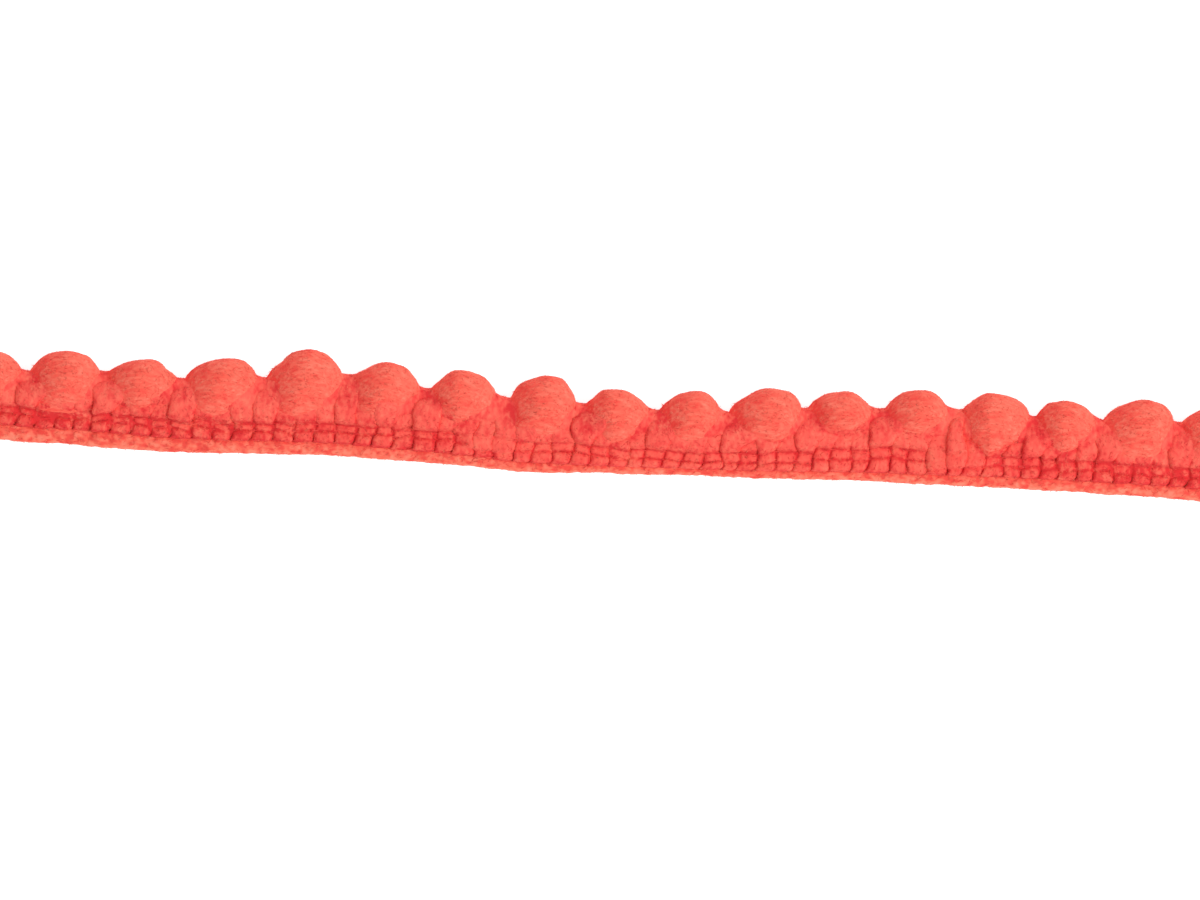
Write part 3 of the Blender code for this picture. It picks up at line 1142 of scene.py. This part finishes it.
def on_the_passes(spots, ups):
    """On top of the passes, but not inside a pompom."""
    faces = [max(face(ball, x, y) for ball in balls if abs(ball.middle.x - x) < repeat) for x, y, z in spots]
    return (ups[:, 2] > WEFT_OVERHANG) & (spots[:, 2] > WEFT_LOW) & (spots[:, 2] > np.array(faces) - INSIDE)


def behind_the_fingers(spots, ups):
    """On the upper part of the ground."""
    return off_the_table(spots, ups) & (spots[:, 1] > GROUND_FROM)


def round_the_foot(ball):
    """The direction of the brushed arcs of a pompom."""
    middle = np.array(arc_middle(ball))

    def direction(spots):
        away = spots - middle
        return np.stack([away[:, 1], -away[:, 0], np.zeros(len(spots))], axis=1)

    return direction


def up_the_band(spots):
    """The direction across the band."""
    return np.tile((0.0, 1.0, 0.0), (len(spots), 1))


def along_the_edge(spots):
    """The direction of the edge, with a slant."""
    return np.tile((1.0, EDGE_SLANT, 0.0), (len(spots), 1))


# %% The nap of every piece
for ball, piece in zip(balls, plush_balls):
    nap = POMPOM_NAP._replace(seed=POMPOM_NAP.seed + ball.number)
    join(piece, comb("fibres", piece, nap, round_the_foot(ball), off_the_table))
weft_nap = comb("weft_nap", bars, WEFT_NAP, up_the_band, on_the_passes)
ground_nap = comb("ground_nap", ground, GROUND_NAP, up_the_band, behind_the_fingers)
selvedge_nap = comb("selvedge_nap", roll, SELVEDGE_NAP, along_the_edge, off_the_table)
for nap in (weft_nap, ground_nap, selvedge_nap):
    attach(nap, "root")

# %% [markdown]
# ## The brushed plush
#
# The yarn is one dye, so one node group makes the colour of every piece. A noise that is stretched along the
# grain gives the brushed streaks, a wide noise the mottling, and the fibre's own tone sets it off from its
# neighbours. Together they move the colour towards a darker or a lighter one, and `shade` moves it further:
# above 0 as painted shade, and below 0 as painted light.

# %% A node group for brushed plush
STREAK_CONTRAST = 2.4
PATCH_CONTRAST = 1.6
TONE_CONTRAST = 1.1
MOOD_CONTRAST = 1.2  # how far the three together move the colour
STREAK_DETAIL = 3.0
PATCH_SCALE = 0.55
PATCH_DETAIL = 2.0
GLOSSIEST = 0.75  # the lowest roughness, in the dark of a streak
GLOSS_SPREAD = 0.2
COLOURS = ("Fibre Colour", "Shade Colour", "Light Colour")
STREAKS = ("Streak Length", "Streak Width")


def set_sockets(node, values):
    """Gives sockets of a node their values."""
    for name, value in values.items():
        node.inputs[name].default_value = value


def build_plush_group():
    """Gives the colour, the height and the roughness of brushed fibres."""
    group = bpy.data.node_groups.new("brushed plush", "ShaderNodeTree")
    for names, side, kind in (
        (COLOURS, "INPUT", "NodeSocketColor"),
        (STREAKS, "INPUT", "NodeSocketFloat"),
        (("Colour",), "OUTPUT", "NodeSocketColor"),
        (("Height", "Roughness"), "OUTPUT", "NodeSocketFloat"),
    ):
        for name in names:
            group.interface.new_socket(name, in_out=side, socket_type=kind)
    nodes, links = group.nodes, group.links
    entry, leave = nodes.new("NodeGroupInput"), nodes.new("NodeGroupOutput")

    def attribute(name, output):
        made = nodes.new("ShaderNodeAttribute")
        made.attribute_name = name
        return made.outputs[output]

    def fill(socket, value):
        if isinstance(value, (int, float)):
            socket.default_value = value
        else:
            links.new(value, socket)

    def maths(operation, one, other, clamp=False):
        made = nodes.new("ShaderNodeMath")
        made.operation = operation
        made.use_clamp = clamp
        fill(made.inputs[0], one)
        fill(made.inputs[1], other)
        return made.outputs[0]

    def noise_at(place, scale, detail):
        made = nodes.new("ShaderNodeTexNoise")
        set_sockets(made, {"Scale": scale, "Detail": detail})
        links.new(place, made.inputs["Vector"])
        return made.outputs[0]

    def around_zero(value, contrast):
        return maths("MULTIPLY", maths("SUBTRACT", value, NEUTRAL), contrast)

    def blend(factor, one, other):
        made = nodes.new("ShaderNodeMix")
        made.data_type = "RGBA"
        for name, value in (("Factor", factor), ("A", one), ("B", other)):
            links.new(value, made.inputs[name])
        return made.outputs["Result"]

    grain = attribute("grain", "Vector")
    split = nodes.new("ShaderNodeSeparateXYZ")
    links.new(grain, split.inputs[0])
    stretched = nodes.new("ShaderNodeCombineXYZ")
    for slot, name in enumerate(("Streak Length", "Streak Width", "Streak Width")):
        fill(stretched.inputs[slot], maths("DIVIDE", split.outputs[slot], entry.outputs[name]))
    streaks = noise_at(stretched.outputs[0], 1.0, STREAK_DETAIL)
    patches = noise_at(grain, PATCH_SCALE, PATCH_DETAIL)
    mood = maths("ADD", around_zero(streaks, STREAK_CONTRAST), around_zero(patches, PATCH_CONTRAST))
    mood = maths("ADD", mood, around_zero(attribute("tone", "Fac"), TONE_CONTRAST))
    shade = attribute("shade", "Fac")
    darker = maths("ADD", maths("MULTIPLY", mood, -MOOD_CONTRAST, clamp=True), shade, clamp=True)
    # painted light, where shade is below 0
    painted_light = maths("MULTIPLY", shade, -1.0, clamp=True)
    lighter = maths("ADD", maths("MULTIPLY", mood, MOOD_CONTRAST, clamp=True), painted_light, clamp=True)
    colour = blend(darker, entry.outputs["Fibre Colour"], entry.outputs["Shade Colour"])
    colour = blend(lighter, colour, entry.outputs["Light Colour"])
    links.new(colour, leave.inputs["Colour"])
    links.new(streaks, leave.inputs["Height"])
    roughness = maths("ADD", maths("MULTIPLY", streaks, GLOSS_SPREAD), GLOSSIEST)
    links.new(roughness, leave.inputs["Roughness"])
    return group


plush_group = build_plush_group()

# %% [markdown]
# Four finishes use the group. The pompoms are painted the warmest, as painted light on their tips, and the
# passes are painted deeper and cooler, as painted shade. The selvedge is the palest, and the thread is
# painted the darkest, as the shade of the deep lines it lies in. A little sheen stands for the fuzz that is
# too fine to model.

# %% Four finishes of one yarn
Plush = namedtuple("Plush", "name fibre shade light length width")
POMPOM_PLUSH = Plush("pompom plush", (0.94, 0.135, 0.09), (0.88, 0.06, 0.048), (0.98, 0.22, 0.15), 1.3, 0.3)
WEFT_PLUSH = Plush("weft plush", (0.93, 0.11, 0.083), (0.75, 0.035, 0.037), (0.96, 0.18, 0.12), 0.6, 0.4)
EDGE_PLUSH = Plush("selvedge plush", (0.95, 0.16, 0.10), (0.85, 0.08, 0.06), (0.98, 0.24, 0.16), 1.0, 0.35)
THREAD_PLUSH = Plush("stitch thread", (0.88, 0.09, 0.08), (0.72, 0.03, 0.035), (0.93, 0.14, 0.11), 0.8, 0.2)
PILE_RELIEF = 0.08  # how deep the streaks are
PILE_STRENGTH = 0.5
FUZZ = {
    "Specular IOR Level": 0.15,
    "Sheen Weight": 0.1,
    "Sheen Roughness": 0.5,
    "Sheen Tint": (1.0, 0.45, 0.35, 1.0),
}


def plush(row):
    """The material of one row."""
    material = bpy.data.materials.new(row.name)
    material.use_nodes = True
    nodes, links = material.node_tree.nodes, material.node_tree.links
    look = nodes.new("ShaderNodeGroup")
    look.node_tree = plush_group
    colours = [(*colour, 1.0) for colour in (row.fibre, row.shade, row.light)]
    set_sockets(look, dict(zip(COLOURS, colours)))
    set_sockets(look, dict(zip(STREAKS, (row.length, row.width))))
    bump = nodes.new("ShaderNodeBump")
    set_sockets(bump, {"Strength": PILE_STRENGTH, "Distance": PILE_RELIEF * MM})
    shader = nodes["Principled BSDF"]
    set_sockets(shader, FUZZ)
    links.new(look.outputs["Colour"], shader.inputs["Base Color"])
    links.new(look.outputs["Roughness"], shader.inputs["Roughness"])
    links.new(look.outputs["Height"], bump.inputs["Height"])
    links.new(bump.outputs["Normal"], shader.inputs["Normal"])
    return material


def give(finish, *pieces):
    """The pieces get one finish."""
    material = plush(finish)
    for piece in pieces:
        piece.data.materials.append(material)


give(POMPOM_PLUSH, *plush_balls)
give(WEFT_PLUSH, bars, ground, weft_nap, ground_nap)
give(EDGE_PLUSH, roll, selvedge_nap)
give(THREAD_PLUSH, threads)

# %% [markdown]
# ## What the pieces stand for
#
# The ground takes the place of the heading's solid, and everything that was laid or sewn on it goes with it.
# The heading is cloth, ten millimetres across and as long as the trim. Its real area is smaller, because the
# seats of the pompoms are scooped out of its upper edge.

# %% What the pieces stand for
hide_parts("heading")

# %% [markdown]
# ## The floor and the light
#
# The trim was photographed from above on white paper, under one large soft lamp from the right. The paper is
# so bright that it burns out, and only a faint shade is left at the trim's left and lower edges. A grey
# floor with a glow of its own gives that: it stays white, and the shadows on it stay soft and pale.

# %% The floor
FLOOR_HALF = 1.5
WHITE = (1.0, 1.0, 1.0, 1.0)
PAPER = {
    "Base Color": (0.6, 0.6, 0.6, 1.0),
    "Roughness": 0.9,
    "Specular IOR Level": 0.1,
    "Emission Color": WHITE,
    "Emission Strength": 0.78,
}

bm = bmesh.new()
bmesh.ops.create_grid(bm, x_segments=1, y_segments=1, size=FLOOR_HALF)
floor_mesh = bpy.data.meshes.new("floor")
bm.to_mesh(floor_mesh)
bm.free()
paper = bpy.data.materials.new("white paper")
paper.use_nodes = True
set_sockets(paper.node_tree.nodes["Principled BSDF"], PAPER)
floor_mesh.materials.append(paper)
floor_piece = add_object("floor", floor_mesh)

# %% The light
ROOM_LIGHT = 0.72
LAMP_PLACE = Vector((0.50, -0.05, 0.60))  # in metres, to the right and a little below
LAMP_SIZE = 0.45
LAMP_POWER = 3.3

world = bpy.data.worlds.new("studio")
world.use_nodes = True
set_sockets(world.node_tree.nodes["Background"], {"Color": WHITE, "Strength": ROOM_LIGHT})
bpy.context.scene.world = world

softbox = bpy.data.lights.new("softbox", "AREA")
softbox.shape = "DISK"
softbox.size = LAMP_SIZE
softbox.energy = LAMP_POWER
lamp = add_object("softbox", softbox)
lamp.location = LAMP_PLACE
lamp.rotation_euler = (-LAMP_PLACE).to_track_quat("-Z", "Y").to_euler()

# %% [markdown]
# ## The camera
#
# The photograph looks straight down. In it a millimetre is 10.8 pixels wide, and the trim is turned by less
# than three degrees. A long lens keeps the pompoms at the sides from leaning outwards.

# %% The camera
LENS = 150.0
SENSOR = 36.0
PIXELS_PER_MM = 10.8
PICTURE_WIDTH = 1200  # pixels
PICTURE_ROLL = radians(2.8)
MIDDLE_ABOVE_EDGE = 23 / PIXELS_PER_MM  # the picture's middle lies 23 pixels above the selvedge edge
EDGE_BEHIND_ORIGIN = 1.7
NEAREST = 0.01  # in metres, what the camera can see
FURTHEST = 10.0

camera_data = bpy.data.cameras.new("camera")
camera_data.lens = LENS
camera_data.sensor_width = SENSOR
camera_data.clip_start = NEAREST
camera_data.clip_end = FURTHEST
camera = add_object("camera", camera_data)
middle_x = -MIDDLE_ABOVE_EDGE * sin(PICTURE_ROLL)
middle_y = MIDDLE_ABOVE_EDGE * cos(PICTURE_ROLL) - EDGE_BEHIND_ORIGIN
distance = PICTURE_WIDTH / PIXELS_PER_MM * LENS / SENSOR
camera.location = Vector((middle_x, middle_y, distance)) * MM
camera.rotation_euler = (0.0, 0.0, PICTURE_ROLL)
bpy.context.scene.camera = camera
bpy.context.scene.view_settings.view_transform = "Standard"
